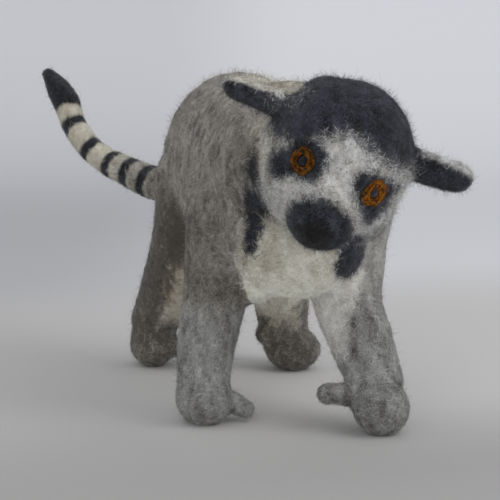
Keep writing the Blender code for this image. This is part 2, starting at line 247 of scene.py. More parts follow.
INNER_FOOT = 22.0  # and from what height up
GROIN_FOOT = 18.0
RIGHT_INNER_FOOT = 40.0
LEFT_INNER_EDGE = (25.8, 38.0, 0.15)  # its place at a height, and how it leans
RIGHT_THIGH_TOP = 42.0  # up to where the cream shows on the front of the right thigh
HAZE = ((-3.5, -98.5, 106.0), (9.0, 9.0, 5.5))  # pale fibres over the cap, by the right ear
HAZE_SHARE = 0.12
HAZE_LIGHT = 0.15
STRAYS = 0.05  # share of slate fibres in the white of the head
GLINTS = 0.14  # share of the slate fibres that are lighter
BIB_HEM = ((22.0, 26.0, 31.0), (28.0, 36.0, 45.0))  # how low the bib reaches on the left foreleg
BIB_SIDE = ((44.0, 49.0, 53.0, 70.0), (33.0, 32.0, 27.0, 24.0))  # and how far to the left, by height
TONE_AND_PAINTED_SHADE = (  # places whose wool is darker or lighter, and by how much: some are the wool's own tone, some painted shade and painted light
    ((-14.9, -62.3, 72.0), (16.0, 16.0, 26.0), -0.08),
    # painted shade on the flank above the right hind leg
    ((-13.0, 14.0, 54.0), (7.0, 12.0, 9.0), -0.45),
    # painted light on the back-lit rim of the right hip
    ((-17.0, 18.0, 71.0), (8.0, 12.0, 7.0), 0.12),
    # painted shade on the back of the right foreleg, in the hollow before the hind leg
    ((-22.0, -39.0, 61.0), (3.5, 12.0, 9.0), -0.38),
    ((-18.0, 24.0, 34.0), (9.0, 12.0, 9.0), -0.12),
    # painted light under the left cheek, where it lies in shade
    ((19.0, -106.0, 68.5), (8.0, 8.0, 6.0), 0.22),
    ((-19.0, 28.0, 46.0), (10.0, 14.0, 16.0), -0.12),
    ((29.0, -66.6, 34.0), (4.0, 6.0, 6.0), -0.1),
    ((5.0, -10.0, 109.5), (10.0, 18.0, 6.0), 0.1),
    ((-6.5, -78.5, 96.5), (4.0, 7.0, 5.0), 0.15),
    ((6.0, -118.0, 91.0), (7.0, 5.0, 5.0), 0.14),
    ((26.0, -88.0, 98.0), (7.0, 8.0, 6.0), 0.12),
    ((-12.0, -78.0, 89.0), (7.0, 9.0, 9.0), -0.22),
    ((36.0, -62.0, 58.0), (8.0, 12.0, 15.0), 0.28),
    ((25.0, -64.0, 38.0), (4.0, 6.0, 7.0), -0.12),
    ((28.7, 21.5, 24.0), (8.0, 8.0, 7.0), 0.15),
    ((6.5, -38.0, 108.0), (9.0, 14.0, 8.0), -0.32),
    # painted shade at the right edge of the bib
    ((-1.3, -68.0, 54.0), (3.0, 5.0, 6.0), -0.2),
)
BLURS = {  # how far the edges of the markings blur, and for "turn" how far skin turns meanwhile
    "white": 2.0, "cheek": 2.5, "cheek_top": 2.5, "bib": 4.0, "bib_hem": 2.5, "bib_side": 2.0, "belly": 5.0,
    "under": 6.0, "inner": 5.0, "inner_edge": 1.8, "turn": 0.25, "thigh": 4.0, "nape": 5.0, "tail": 6.0,
    "cap": 3.4, "patch": 1.8, "muzzle": 1.3, "nose": 2.0, "band": 1.2, "ear": 0.8, "haze": 3.0,
    "stripe": 1.2, "ring": 1.0,
}
PATCH_GROWS = 0.3  # how far the eye patches go past their outlines
RAGGED = ((0.4, 3.1, 3), (0.1, 1.3, 4))  # how far the edges wander, over what length, and a seed


def cap_distance(face):
    side, ahead, up = face.T
    edge = np.interp(side, *CAP_EDGE.T)
    return np.maximum((edge - up) * CAP_LEAN, CAP_BACK - ahead)


def from_outline(places, knots):
    """How far flat places lie outside a closed smooth outline, negative inside it."""
    starts = curve((knots[-1], *knots, *knots[:2]), KNOT_STEPS)[:-1]
    ends = np.roll(starts, -1, axis=0)
    sides = ends - starts
    offsets = places[:, None] - starts[None]
    along = np.clip((offsets * sides).sum(-1) / (sides**2).sum(-1), 0, 1)
    distance = np.linalg.norm(offsets - along[..., None] * sides, axis=2).min(1)
    rises = (starts[:, 1] > places[:, 1:]) != (ends[:, 1] > places[:, 1:])
    slopes = sides[:, 0] / np.where(sides[:, 1] == 0, 1e-9, sides[:, 1])
    crosses = rises & (places[:, :1] < starts[:, 0] + (places[:, 1:] - starts[:, 1]) * slopes)
    return np.where(crosses.sum(1) % 2 == 1, -distance, distance)


def eye_patch_distance(face):
    distances = [
        from_outline(np.stack([face[:, 0] * outwards, face[:, 2]], axis=1), EYE_PATCHES[side])
        for side, outwards in OUTWARDS.items()
    ]
    return np.maximum(np.min(distances, axis=0), EYE_PATCH_BACK - face[:, 1])


def white_distance(face):
    """How far places are outside the white of the head, which ends under the cheeks."""
    distances = [from_ball(face, *HEAD_WHITE), HEAD_WHITE_BACK - face[:, 1]]
    for side, outwards in OUTWARDS.items():
        distances.append(face * (outwards, 1, 1) @ np.array(CHEEK_SLOPE) - CHEEK_ENDS[side])
    return np.max(distances, axis=0)


def from_tail_tip(points):
    """How far places are from the joint of the dark tip, along the tail towards its root."""
    nearest = np.argmin(((points[:, None] - TAIL[None]) ** 2).sum(-1), axis=1)
    along = unit(np.gradient(TAIL, axis=0))[nearest]
    reach = TAIL_REACH[nearest] + ((points - TAIL[nearest]) * along).sum(1)
    return TIP_STARTS - reach


def ring_distance(from_tip):
    """How far places on the tail are outside its dark rings and tip."""
    rings = np.min([np.abs(from_tip - place) for place in RINGS], axis=0) - RING_WIDTH / 2
    return np.minimum(rings, from_tip - TIP_DARK)


def within(marking, distance):
    """1 inside a marking and 0 outside it, with its own blur between."""
    return soft(distance, BLURS[marking])


def starting(nodes, *starts):
    """Which names of nodes have one of these starts."""
    return np.any([np.char.startswith(nodes, start) for start in starts], axis=0)


def on_legs(nodes):
    return np.char.find(nodes, "leg_") >= 0


def on_torso(nodes):
    return np.isin(nodes, ("trunk", "neck")) | on_legs(nodes)


def pale_share(points, face, height, nodes):
    """How pale the wool is: bluish on the forelegs, white rather than cream on the face."""
    left = np.char.endswith(nodes, "left")
    tops = {side: soft(height - top, blur) for side, (top, blur) in PALE_TOPS.items()}
    pale = np.where(left, tops["left"], tops["right"]) * starting(nodes, "fore")
    shoulder = soft(SHOULDER_PALE[0] - points[:, 0], 8.0) * soft(points[:, 1] - SHOULDER_PALE[1], 6.0)
    pale = np.maximum(pale, SHOULDER_SHARE * shoulder * on_torso(nodes))
    cheek = within("cheek", face[:, 0] - CHEEK_STARTS)
    return np.where(np.isin(nodes, HEAD_NODES), 1 - CHEEK_CREAM * cheek, pale)


def inner_legs(points, normals, nodes, height, ragged):
    """How cream the legs are on their insides and, on the hind legs, in front."""
    side = np.where(np.char.endswith(nodes, "left"), 1.0, -1.0)
    fore = starting(nodes, "fore")
    legs = on_legs(nodes)
    facing = normals[:, 0] * side
    inner = within("turn", facing + INNER_TURN + 0.15 * ragged) * within("inner", INNER_FOOT - height) * legs
    inner *= np.where(fore & (side < 0), within("inner", RIGHT_INNER_FOOT - height), 1.0)
    place, at_height, lean = LEFT_INNER_EDGE
    edge = within("inner_edge", points[:, 0] - place - lean * (height - at_height))
    inner *= np.where(fore & (side > 0), edge, 1.0)
    groin = within("turn", facing * 0.5 + normals[:, 1] * 0.85 + INNER_TURN + 0.15 * ragged)
    inner = np.maximum(inner, groin * legs * ~fore * within("inner", GROIN_FOOT - height))
    thigh = within("thigh", points[:, 2] + 1.2 * ragged - RIGHT_THIGH_TOP)
    return inner * np.where(nodes == "hind_leg_right", thigh, 1.0)


def cream_share(points, normals, nodes, face, height, ragged):
    """How much cream there is: the pale of the head, bib, belly, insides of the legs, nape and tail."""
    torso = on_torso(nodes)
    white = within("white", white_distance(face) + 2 * ragged) * (np.isin(nodes, HEAD_NODES) | torso)
    head = HEAD_CREAM * np.maximum(white, EAR_CREAM * starting(nodes, "ear_"))
    bib = within("bib", from_ball(points, *BIB) + 2 * ragged) * torso
    hem = within("bib_hem", np.interp(points[:, 0], *BIB_HEM) - height)
    bib *= np.where(nodes == "foreleg_left", hem, 1.0)
    bib *= within("bib_side", points[:, 0] - np.interp(points[:, 2], *BIB_SIDE) + ragged)
    under = soft(0.25 + normals[:, 2] + 0.1 * ragged, 0.25) * within("under", points[:, 2] - BELLY_TOP)
    belly = np.maximum(under, within("belly", height - BELLY_TOP)) * (nodes == "trunk")
    inner = inner_legs(points, normals, nodes, height, ragged)
    nape = NAPE_CREAM * within("nape", from_ball(points, *NAPE) + 3 * ragged) * torso
    cheek_top = within("cheek_top", from_ball(points, *CHEEK_TOP) + 2 * ragged) * (nodes == "neck")
    tail = 1 - TAIL_GREY * within("tail", TAIL_GREYS - from_tail_tip(points))
    tail = tail * starting(nodes, "tail_")
    return np.max([head, bib, belly, inner, nape, tail, CHEEK_TOP_CREAM * cheek_top], axis=0)


def slate_share(points, normals, nodes, face, ragged):
    """How much slate there is: cap, eye patches, muzzle, fronts of the ears, throat stripes and rings."""
    head = np.isin(nodes, HEAD_NODES)
    slate = within("cap", cap_distance(face) + ragged) * head
    slate = np.maximum(slate, within("patch", eye_patch_distance(face) - PATCH_GROWS + ragged) * head)
    slate = np.maximum(slate, within("muzzle", from_ball(face, *MUZZLE_PATCH) + ragged) * head)
    over_band = face[:, 2] - np.interp(face[:, 0], *EAR_BAND)
    slate *= 1 - within("band", np.maximum(-over_band, EAR_BAND_ROOT - face[:, 0]) + ragged)
    for name, (ahead, up) in EAR_SLATE.items():
        turned = 3.0 * (normals @ (FACE_FRONT * -ahead - FACE_UP * up))
        if name == "left":  # the one whose pale rim shows from the front
            turned = np.maximum(turned, over_band)
        slate = np.where(nodes == f"ear_{name}", within("ear", turned + 0.5 * ragged), slate)
    slate *= 1 - HAZE_SHARE * within("haze", from_ball(points, *HAZE))
    stripes = np.min([from_ball(points, *ball) for ball in THROAT_STRIPES], axis=0)
    below = (head & ~starting(nodes, "ear_")) | on_torso(nodes)
    slate = np.maximum(slate, within("stripe", stripes + ragged) * below)
    rings = within("ring", ring_distance(from_tail_tip(points)) + 0.5 * ragged)
    return np.maximum(slate, rings * starting(nodes, "tail_"))


def markings(points, normals, nodes):
    """How much of each wool lies at places on the skin: slate, cream, black and pale. The rest is grey.

    points are in millimetres, and nodes are the names of the nodes under them.
    """
    face = on_head(points)
    ragged = sum(size * waves(points, length, seed) for size, length, seed in RAGGED)
    height = points[:, 2] + 2.5 * ragged
    slate = slate_share(points, normals, nodes, face, ragged)
    cream = cream_share(points, normals, nodes, face, height, ragged)
    black = within("nose", from_ball(face, *NOSE_PATCH) + ragged) * np.isin(nodes, HEAD_NODES)
    return np.stack([slate, cream, black, pale_share(points, face, height, nodes)], axis=1)


STREAKED = (1.0, 1.0, 0.4)  # the body's streaks are longer downwards
EVEN = (1.0, 1.0, 1.0)
MOTTLE = (  # how strong, over what length, a seed, and the streaks' shape
    (0.14, 4.5, 11, STREAKED), (0.07, 22.0, 12, EVEN), (0.12, 2.0, 13, EVEN), (0.09, 1.1, 14, EVEN),
)
LEG_MOTTLE = 0.7
CREAM_CALMS = (0.35, 0.6, 0.8)  # how much less cream wool shows mottle, the painted crease shade and the hind legs' dark and painted shade
HEAD_LIGHT = 0.06
MUZZLE_DARK = 0.12
PAINTED_CREASE_SHADE = 0.26
HIP_FADES = (76.0, 14.0)  # the height at which the hind legs turn as light as the body, and over how far
# the hind legs' darker wool, partly painted shade where the body shades them
HIND_DARK = 0.3
KNEE = (36.0, 10.0)  # the darker stretch of the hind legs: its middle and half its height
KNEE_DARK = 0.12
LEFT_THIGH = 30.0  # above it the left hind leg is lighter
LEFT_THIGH_LIGHT = 0.15
LEFT_PAW_DARK = 0.12
ELBOW = (44.0, 5.0)  # the dark stretch of the right foreleg: its middle and half its height
ELBOW_DARK = 0.22
# painted light on the bib, which the head shades
PAINTED_BIB_LIGHT = 0.14
TAIL_DARK = 0.06
LEFT_EAR_LIGHT = 0.1
LOW_LIGHT = (47.0, 0.32)  # below this height the torso is lighter, and by how much
TONE_AND_PAINTED_SHADE_BLUR = 6.0


def tones(points, nodes, wool):
    """How light the wool is at places on the skin, from 0 to 1, with the darker streaks of the body, and
    painted shade and painted light.
    """
    torso = np.isin(nodes, ("trunk", "neck"))
    head = np.isin(nodes, HEAD_NODES)
    hind = starting(nodes, "hind", "big_toe")
    left = np.char.endswith(nodes, "left")
    height = points[:, 2]
    mottle_calm, crease_calm, dark_calm = (1 - share * wool[:, 1] for share in CREAM_CALMS)
    mottle = sum(size * waves(points * shape, length, seed) for size, length, seed, shape in MOTTLE)
    hip = hind * (1 - soft(height - HIP_FADES[0], HIP_FADES[1]))
    rough = np.where(torso | head, 1.0, LEG_MOTTLE + (1 - LEG_MOTTLE) * hip)
    tone = 0.5 + mottle * rough * mottle_calm
    tone = tone + head * (HEAD_LIGHT + 0.1 * waves(points, 1.6, 16))
    tone = tone - MUZZLE_DARK * np.isin(nodes, ("muzzle", "nose"))
    # painted shade of creases and needle holes in the felt, laid in random streaks
    crease_shade = soft(0.8 - waves(points * STREAKED, 3.4, 15), 0.4)
    tone = tone - PAINTED_CREASE_SHADE * crease_shade * np.where(torso, 1.0, 0.5 + 0.5 * hip) * crease_calm
    # the hind legs' dark: their darker wool, partly painted shade under the body
    dark = HIND_DARK + KNEE_DARK * soft(abs(height - KNEE[0]) - KNEE[1], 6.0)
    dark = dark - LEFT_THIGH_LIGHT * left * soft(LEFT_THIGH - height, 6.0)
    tone = tone - dark * (hind - hip) * dark_calm
    tone = tone - LEFT_PAW_DARK * starting(nodes, "forepaw", "forethumb") * left
    elbow = (nodes == "foreleg_right") * soft(abs(height - ELBOW[0]) - ELBOW[1], 4.0)
    # the right foreleg's dark stretch, and painted light on the bib
    tone = tone - ELBOW_DARK * elbow + PAINTED_BIB_LIGHT * soft(from_ball(points, *BIB), 4.0)
    tone = tone + HAZE_LIGHT * soft(from_ball(points, *HAZE), 4.0) * head
    tone = tone - TAIL_DARK * starting(nodes, "tail_") + LEFT_EAR_LIGHT * (nodes == "ear_left")
    tone = tone + LOW_LIGHT[1] * soft(height - LOW_LIGHT[0], 6.0) * torso
    # the listed places, darker or lighter: the wool's own tone, and in some of them painted shade and painted
    # light
    for centre, radii, lighter in TONE_AND_PAINTED_SHADE:
        tone = tone + lighter * soft(from_ball(points, centre, radii), TONE_AND_PAINTED_SHADE_BLUR)
    return tone


# Meshes and objects


def deselect_all():
    if bpy.context.mode != "OBJECT":
        bpy.ops.object.mode_set(mode="OBJECT")
    bpy.ops.object.select_all(action="DESELECT")


def choose(piece):
    """Makes one object the only one that operators act on."""
    deselect_all()
    piece.select_set(True)
    bpy.context.view_layer.objects.active = piece


def edit_all(step, **settings):
    """Runs an edit step on the whole mesh of the active object."""
    bpy.ops.object.mode_set(mode="EDIT")
    bpy.ops.mesh.select_all(action="SELECT")
    step(**settings)
    bpy.ops.object.mode_set(mode="OBJECT")


def select_edges(mesh, wanted):
    """Selects the edges of the mesh in edit mode whose two ends are both wanted."""
    bpy.ops.object.mode_set(mode="OBJECT")
    for edge in mesh.edges:
        edge.select = all(wanted(mesh.vertices[number].co) for number in edge.vertices)
    bpy.ops.object.mode_set(mode="EDIT")


def node_copy(node):
    """A copy of a node with its loose triangles merged."""
    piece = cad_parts[node].copy()
    piece.data = piece.data.copy()
    piece.parent = None
    for key in list(piece.keys()):
        del piece[key]
    bpy.context.scene.collection.objects.link(piece)
    piece.hide_render = False
    piece.hide_viewport = False
    choose(piece)
    edit_all(bpy.ops.mesh.remove_doubles, threshold=1e-6)
    return piece


def apply_modifier(piece, kind, name, **settings):
    modifier = piece.modifiers.new(name, kind)
    for key, value in settings.items():
        setattr(modifier, key, value)
    choose(piece)
    bpy.ops.object.modifier_apply(modifier=name)


def lump_texture(name, size):
    texture = bpy.data.textures.new(name, "CLOUDS")
    texture.noise_scale = size
    texture.noise_depth = 1
    return texture


def set_attribute(mesh, name, kind, field, values):
    attribute = mesh.attributes.get(name) or mesh.attributes.new(name, kind, "POINT")
    attribute.data.foreach_set(field, np.asarray(values, dtype=np.float32).ravel())


def finish_piece(piece, slot, material, *nodes):
    piece.data.materials.clear()
    piece.data.materials.append(material)
    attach(piece, BODY)
    if nodes:
        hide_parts(*nodes)


# Materials


class Nodes:
    """Adds nodes to a material and links them, from left to right."""

    def __init__(self, name, roughness, sheen):
        self.material = bpy.data.materials.new(name)
        self.material.use_nodes = True
        self.tree = self.material.node_tree
        self.shader = self.tree.nodes["Principled BSDF"]
        self.shader.inputs["Roughness"].default_value = roughness
        self.shader.inputs["Specular IOR Level"].default_value = 0.08
        self.shader.inputs["Sheen Weight"].default_value = sheen
        self.shader.inputs["Sheen Roughness"].default_value = 0.6

    def link(self, source, target):
        self.tree.links.new(source, target)

    def attribute(self, name):
        node = self.tree.nodes.new("ShaderNodeAttribute")
        node.attribute_name = name
        return node.outputs

    def number(self, operation, first, second):
        node = self.tree.nodes.new("ShaderNodeMath")
        node.operation = operation
        for socket, value in zip(node.inputs, (first, second)):
            if isinstance(value, (int, float)):
                socket.default_value = value
            else:
                self.link(value, socket)
        return node.outputs[0]

    def mix(self, share, first, second):
        node = self.tree.nodes.new("ShaderNodeMix")
        node.data_type = "RGBA"
        self.link(share, node.inputs["Factor"])
        for socket, value in ((node.inputs[6], first), (node.inputs[7], second)):
            if isinstance(value, tuple):
                socket.default_value = (*value, 1.0)
            else:
                self.link(value, socket)
        return node.outputs[2]

    def noise(self, per_millimetre, detail=2.0, kind="FBM", distortion=0.0):
        """A noise on the object's own coordinates, with this many features a millimetre."""
        place = self.tree.nodes.new("ShaderNodeTexCoord")
        node = self.tree.nodes.new("ShaderNodeTexNoise")
        node.noise_type = kind
        node.inputs["Scale"].default_value = per_millimetre / MM
        node.inputs["Detail"].default_value = detail
        node.inputs["Distortion"].default_value = distortion
        self.link(place.outputs["Object"], node.inputs["Vector"])
        return node.outputs["Fac"]

    def ramp(self, value, ends):
        """A smooth step from 0 to 1 between two values in millimetres."""
        node = self.tree.nodes.new("ShaderNodeMapRange")
        node.interpolation_type = "SMOOTHSTEP"
        node.inputs["From Min"].default_value = ends[0] * MM
        node.inputs["From Max"].default_value = ends[1] * MM
        self.link(value, node.inputs["Value"])
        return node.outputs[0]

    def bump(self, height, strength, millimetres):
        node = self.tree.nodes.new("ShaderNodeBump")
        node.inputs["Strength"].default_value = strength
        node.inputs["Distance"].default_value = millimetres * MM
        self.link(height, node.inputs["Height"])
        self.link(node.outputs[0], self.shader.inputs["Normal"])


WARMTH = (1.06, 1.0, 0.9)  # of the darkest fibres beside the lightest
CREAM_WARMTH = (1.12, 1.0, 0.8)


def shades(colour, spread, warmth=WARMTH):
    """The darkest and the lightest fibres of a wool."""
    dark = tuple(c * (1 - spread) * w for c, w in zip(colour, warmth))
    return dark, tuple(min(1.0, c * (1 + spread)) for c in colour)


def scaled(colour, share):
    return tuple(c * share for c in colour)


SLATE_LIGHT = 1.62  # makes up for the slate wool's tones, which are mostly dark
SLATE_SPREAD = 0.98
CREAM_SPREAD = 0.7  # how much less than the grey the other wools differ in lightness
BLACK_SPREAD = 0.6


def wool_colour(nodes, tone, wools):
    """The colour of the wool, from the markings kept on the mesh and how light its fibre is."""
    marks = nodes.attribute("wool")
    split = nodes.tree.nodes.new("ShaderNodeSeparateColor")
    nodes.link(marks["Color"], split.inputs[0])
    colour = nodes.mix(tone, *shades(wools.grey, wools.heather))
    cream = nodes.mix(tone, *shades(wools.cream, CREAM_SPREAD * wools.heather, CREAM_WARMTH))
    white = nodes.mix(tone, *shades(wools.white, CREAM_SPREAD * wools.heather))
    slate = shades(scaled(wools.slate, SLATE_LIGHT), SLATE_SPREAD)
    layers = (
        (marks["Alpha"], nodes.mix(tone, *shades(wools.pale, wools.heather))),
        (split.outputs[1], nodes.mix(marks["Alpha"], cream, white)),
        (split.outputs[0], nodes.mix(nodes.number("MULTIPLY", tone, tone), *slate)),
        (split.outputs[2], nodes.mix(tone, *shades(wools.black, BLACK_SPREAD * wools.heather))),
    )
    for share, wool in layers:
        colour = nodes.mix(share, colour, wool)
    nodes.link(colour, nodes.shader.inputs["Base Color"])


def felt_material(wools):
    """The matted surface, with a fine squiggle of fibres in its colour and relief."""
    nodes = Nodes("felted_wool", 0.95, 0.2)
    squiggle = nodes.noise(1.15, detail=3.0, kind="RIDGED_MULTIFRACTAL", distortion=1.2)
    speckle = nodes.noise(2.6, detail=2.0)
    tone = nodes.attribute("tone")["Fac"]
    for fibres, usual, strength in ((speckle, 0.5, 0.9), (squiggle, 0.6, 0.25)):
        change = nodes.number("MULTIPLY", nodes.number("SUBTRACT", fibres, usual), strength)
        tone = nodes.number("ADD", tone, change)
    wool_colour(nodes, tone, wools)
    nodes.bump(squiggle, 0.5, 0.25)
    return nodes.material


def fibre_material(wools):
    """Single fibres, each as light as the attribute on it says."""
    nodes = Nodes("wool_fibres", 0.85, 0.2)
    wool_colour(nodes, nodes.attribute("tone")["Fac"], wools)
    return nodes.material


def get_material(maker, name, wools):
    return bpy.data.materials.get(name) or maker(wools)


# Fibres


class Skin:
    """The felted skin's points in millimetres, for growing wool on it."""

    def __init__(self):
        mesh = bpy.data.objects["felted_skin"].data
        mesh.calc_loop_triangles()
        self.points = mesh_values(mesh.vertices, "co") / MM
        self.normals = mesh_values(mesh.vertices, "normal")
        self.triangles = mesh_values(mesh.loop_triangles, "vertices", kind=np.int32)
        loops = mesh_values(mesh.loop_triangles, "loops", kind=np.int32)
        self.unwrap = mesh_values(mesh.uv_layers["OFBake"].data, "uv", width=2)[loops]
        first, second, third = (self.points[self.triangles[:, corner]] for corner in range(3))
        self.areas = np.linalg.norm(np.cross(second - first, third - first), axis=1) / 2
        self.nodes = nodes_under(self.points)
        self.tree = BVHTree.FromPolygons(self.points.tolist(), self.triangles.tolist())

    def roots(self, nodes, count, rng):
        """Places spread evenly over the skin of some nodes: points, normals, unwrap and node names."""
        inside = np.isin(self.nodes[self.triangles[:, 0]], nodes)
        chosen = np.flatnonzero(inside)
        share = self.areas[chosen] / self.areas[chosen].sum()
        picked = chosen[rng.choice(len(chosen), count, p=share)]
        first, second = rng.random((2, count, 1))
        flip = first + second > 1
        first, second = np.where(flip, 1 - first, first), np.where(flip, 1 - second, second)
        weights = np.stack([1 - first - second, first, second], axis=1)
        points = (self.points[self.triangles[picked]] * weights).sum(1)
        normals = unit((self.normals[self.triangles[picked]] * weights).sum(1))
        unwrap = (self.unwrap[picked] * weights).sum(1)
        return points, normals, unwrap, self.nodes[self.triangles[picked, 0]]

    def lay(self, paths, heights):
        """Lays paths on the skin, each point at its height over it. Returns the paths and normals there."""
        flat = paths.reshape(-1, 3)
        laid = np.empty_like(flat)
        normals = np.empty_like(flat)
        nearest = self.tree.find_nearest
        for number, point in enumerate(flat.tolist()):
            place, normal, _, _ = nearest(point)
            laid[number] = place
            normals[number] = normal
        normals = normals.reshape(paths.shape)
        return laid.reshape(paths.shape) + normals * heights[..., None], normals


def nodes_under(points):
    """The name of the flesh node nearest to each point."""
    corners, triangles, owners = [], [], []
    for name in FLESH:
        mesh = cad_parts[name].data
        mesh.calc_loop_triangles()
        faces = mesh_values(mesh.loop_triangles, "vertices", kind=np.int32)
        triangles.append(faces + sum(len(part) for part in corners))
        corners.append(node_points(name))
        owners += [name] * len(faces)
    tree = BVHTree.FromPolygons(np.concatenate(corners).tolist(), np.concatenate(triangles).tolist())
    owners = np.array(owners)
    return owners[[tree.find_nearest(point)[2] for point in points.tolist()]]


BODY_LIE = (0.0, 0.8, -0.6)
LEG_LIE = (0.0, 0.1, -1.0)
NECK_LIE = (0.45, 0.1, -0.9)
LOWEST = 0.03  # no fibre goes nearer to the floor than this
TUFT_PATCH = 0.003  # side of a fibre's patch of the unwrap
IRIS_ROUND = 2.6  # how many times the radius of an iris its box is across from corner to corner
MIXING = (0.05, 0.95)  # from which share of a marking its wool starts to show, to where it is all there
GLINT_LIGHT = 0.5


def across(normals, towards):
    """towards, laid flat on the surface."""
    return unit(towards - normals * (normals * towards).sum(-1, keepdims=True))


def lie_of_wool(points, nodes):
    """Which way the wool was rubbed: away from the nose, back over the body, down the legs and tail."""
    lie = np.tile(np.array(BODY_LIE), (len(points), 1))
    legs = on_legs(nodes) | (np.char.find(nodes, "paw") >= 0)
    lie[legs] = LEG_LIE
    lie[nodes == "neck"] = NECK_LIE
    tail = starting(nodes, "tail_")
    nearest = np.argmin(((points[tail][:, None] - TAIL[None]) ** 2).sum(-1), axis=1)
    lie[tail] = unit(np.gradient(TAIL, axis=0))[nearest]
    head = np.isin(nodes, HEAD_NODES)
    lie[head] = unit(points[head] - middle("nose"))
    return lie


def ribbon_piece(name, paths, sides, widths, unwrap, wool, tone, material, slot):
    """One mesh of thin ribbons, each along a path, with its root's colours and patch of the unwrap."""
    count, knots, _ = paths.shape
    half = sides * (widths / 2)[..., None]
    points = np.stack([paths - half, paths + half], axis=2)
    points[..., 2] = np.maximum(points[..., 2], LOWEST)
    corners = points.reshape(-1, 3) * MM
    number = np.arange(count * knots).reshape(count, knots)[:, :-1] * 2
    quads = np.stack([number, number + 1, number + 3, number + 2], axis=-1).reshape(-1, 4)
    mesh = bpy.data.meshes.new(name)
    mesh.vertices.add(len(corners))
    mesh.vertices.foreach_set("co", corners.astype(np.float32).ravel())
    mesh.loops.add(quads.size)
    mesh.loops.foreach_set("vertex_index", quads.astype(np.int32).ravel())
    mesh.polygons.add(len(quads))
    mesh.polygons.foreach_set("loop_start", np.arange(0, quads.size, 4, dtype=np.int32))
    mesh.polygons.foreach_set("use_smooth", np.ones(len(quads), dtype=bool))
    mesh.update(calc_edges=True)
    along = (np.linspace(-0.5, 0.5, knots) * TUFT_PATCH)[None, :, None]
    over = np.array((-0.5, 0.5))[None, None, :] * TUFT_PATCH
    u = unwrap[:, 0][:, None, None] + along + over * 0
    v = unwrap[:, 1][:, None, None] + along * 0 + over
    map_points = np.stack([u, v], axis=-1).reshape(-1, 2)
    layer = mesh.uv_layers.new(name="OFBake")
    layer.data.foreach_set("uv", map_points[quads.ravel()].astype(np.float32).ravel())
    each = knots * 2
    set_attribute(mesh, "wool", "FLOAT_COLOR", "color", np.repeat(wool, each, axis=0))
    set_attribute(mesh, "tone", "FLOAT", "value", np.repeat(tone, each))
    piece = bpy.data.objects.new(name, mesh)
    bpy.context.scene.collection.objects.link(piece)
    finish_piece(piece, slot, material)
    return piece


def clear_of_eyes(points, margin):
    """Which places are off the irises by at least this many millimetres."""
    clear = np.ones(len(points), dtype=bool)
    for side in OUTWARDS:
        low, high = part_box(f"iris_{side}")
        reach = np.linalg.norm(np.array(high - low)) / MM / IRIS_ROUND
        clear &= np.linalg.norm(points - middle(f"iris_{side}"), axis=1) > reach + margin
    return clear


def rooted(skin, nodes, count, rng, margin=0.0):
    """Roots on the skin of some nodes, off the eyes, with their colours and tones."""
    points, normals, unwrap, names = skin.roots(nodes, count, rng)
    keep = clear_of_eyes(points, margin)
    points, normals, unwrap, names = points[keep], normals[keep], unwrap[keep], names[keep]
    share = markings(points, normals, names)
    wool = (share > rng.uniform(*MIXING, share.shape)).astype(float)
    strays = (rng.random(len(points)) < STRAYS) & np.isin(names, HEAD_NODES)
    wool[strays, 0] = 1.0
    glints = (rng.random(len(points)) < GLINTS) & (wool[:, 0] > 0)
    return points, normals, unwrap, names, wool, tones(points, names, share) + GLINT_LIGHT * glints


MATTED = {  # nodes, fibres, length and width in millimetres, how far they stray from the lie, and curl
    "head_wool": (HEAD_NODES, 33000, 2.3, 0.085, 2.2, 1.0),
    "neck_wool": (("neck",), 12000, 3.0, 0.1, 1.0, 0.7),
    "trunk_wool_1": (("trunk",), 23000, 3.0, 0.12, 1.2, 0.6),
    "trunk_wool_2": (("trunk",), 12000, 2.6, 0.12, 1.6, 0.9),
    "foreleg_wool": (both("foreleg"), 18000, 2.4, 0.11, 1.4, 0.8),
    "paw_wool": (PAWS, 9000, 2.0, 0.13, 1.8, 1.0),
    "hind_leg_wool": (HIND, 16000, 2.6, 0.12, 1.3, 0.7),
    "tail_wool": (TAIL_NODES, 7000, 1.8, 0.1, 1.2, 0.6),
}
LOOSE = {  # nodes, fibres, length and width in millimetres, knots, and how steeply they start
    "head_fuzz": (HEAD_NODES, 24500, 2.3, 0.05, 5, 0.6),
    "head_down": (HEAD_NODES, 18000, 2.5, 0.042, 4, 0.75),
    "body_fuzz": (("neck", "trunk"), 22000, 3.2, 0.065, 5, 0.75),
    "leg_fuzz": ((*FORE, *HIND, *TAIL_NODES), 20000, 2.5, 0.06, 5, 0.7),
    "flyaway_wool": (NOT_TAIL, 5000, 4.5, 0.045, 8, 0.8),
}
MATTED_KNOTS = 4
MATTED_RISE = (0.05, 0.5)  # how high the middles of matted fibres lie over their ends
TAPER = ((0, 0.25, 0.6, 1), (0.35, 1.0, 0.9, 0.12))


def taper(knots):
    """How wide a fibre is along its length, as shares of its width."""
    return np.interp(np.linspace(0, 1, knots), *TAPER)


